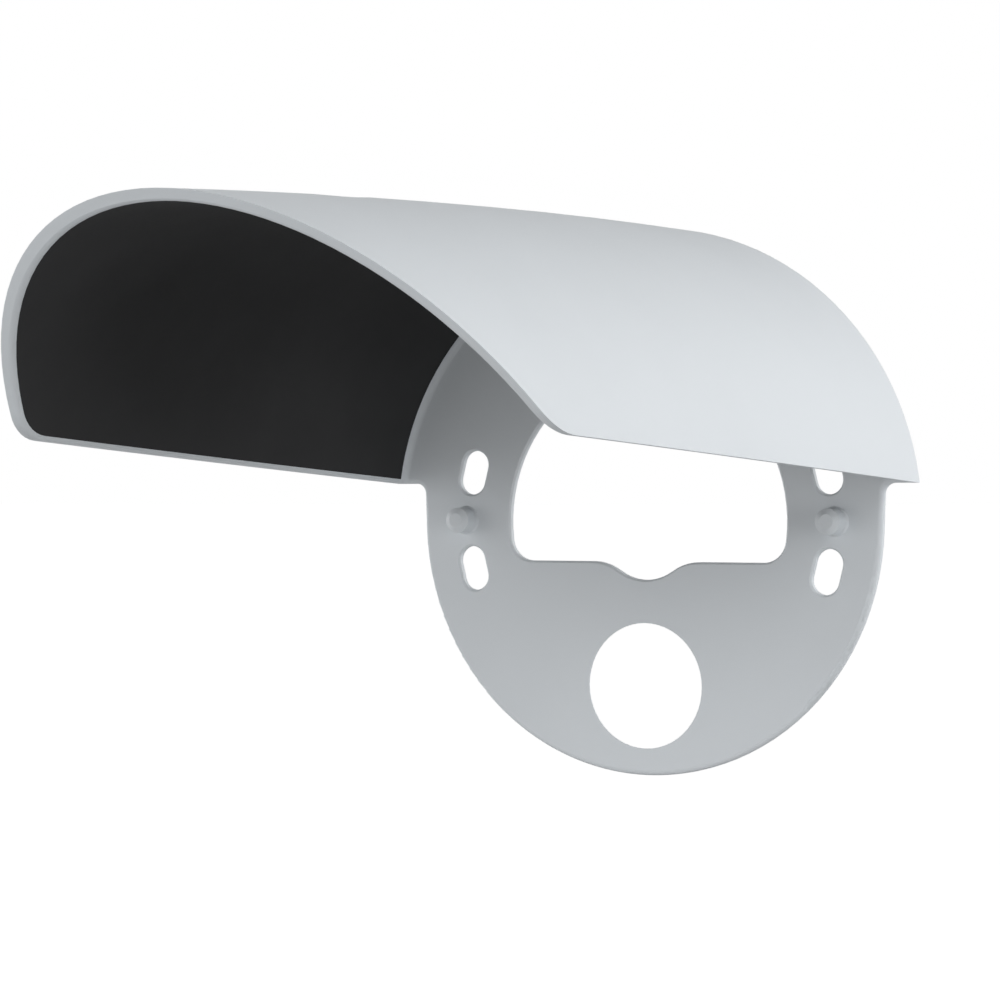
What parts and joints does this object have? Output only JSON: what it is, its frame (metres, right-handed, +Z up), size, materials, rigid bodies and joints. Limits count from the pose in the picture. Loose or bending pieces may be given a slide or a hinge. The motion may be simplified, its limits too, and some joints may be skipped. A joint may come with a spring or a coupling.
{
  "type": "camera sun shield",
  "caption": "Half-round hooded sun shield on a round mounting plate, with a camera window, twist slots, pegs and a cable hole.",
  "frame": {"origin": "centre of the fixing circle on the plate's back face, which lies on the wall", "axes": "-Y points forward out of the wall along the hood, +Z up, +X to the viewer's right"},
  "size_m": [0.1712, 0.257, 0.1613],
  "materials": {
    "shell_plastic": "fine satin moulding texture, light grey",
    "lining_black": "matt black"
  },
  "bodies": {
    "root": {"shield_shell": "shell_plastic", "anti_glare_lining": "lining_black"}
  },
  "joints": []
}
